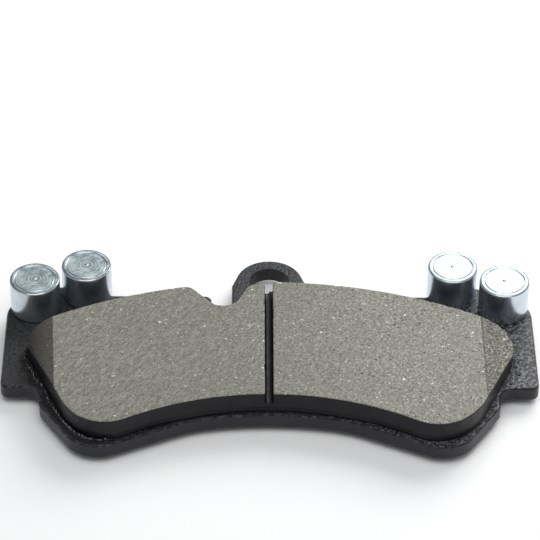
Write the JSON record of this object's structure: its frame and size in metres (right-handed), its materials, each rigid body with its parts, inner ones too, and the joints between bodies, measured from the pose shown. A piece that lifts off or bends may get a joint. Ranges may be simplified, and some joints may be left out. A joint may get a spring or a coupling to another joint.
{
  "type": "disc brake pad",
  "caption": "Disc brake pad: black eared backing plate, slotted grey friction block, back shim and round damper weights.",
  "frame": {"origin": "under the middle of the pad's outline, in the plane of the shim pin heads that it lies on", "axes": "+X along the pad's length, +Y radially outwards from the disc's axis to the eyelet, +Z out of the friction face towards the disc"},
  "size_m": [0.193, 0.1028, 0.022],
  "materials": {
    "plate_coat": "black powder coat with a fine grain",
    "friction": "ground friction compound with metal flecks",
    "bond_coat": "black moulded underlayer, rough at its foot",
    "shim_steel": "cold rolled steel sheet",
    "shim_rubber": "satin black bonded rubber skin",
    "pin_black": "blackened steel, polished on the crown",
    "weight_zinc": "turned steel with bright zinc plating"
  },
  "bodies": {
    "root": {"backing_plate": "plate_coat", "underlayer": "bond_coat", "friction_block": "friction", "shim_inner_skin": "shim_rubber", "shim_core": "shim_steel", "shim_outer_skin": "shim_rubber", "shim_pin_1": "pin_black", "shim_pin_2": "pin_black", "shim_pin_3": "pin_black", "shim_pin_4": "pin_black", "shim_pin_5": "pin_black", "shim_pin_6": "pin_black", "damper_weight_1": "weight_zinc", "damper_weight_2": "weight_zinc", "damper_weight_3": "weight_zinc", "damper_weight_4": "weight_zinc"}
  },
  "joints": []
}
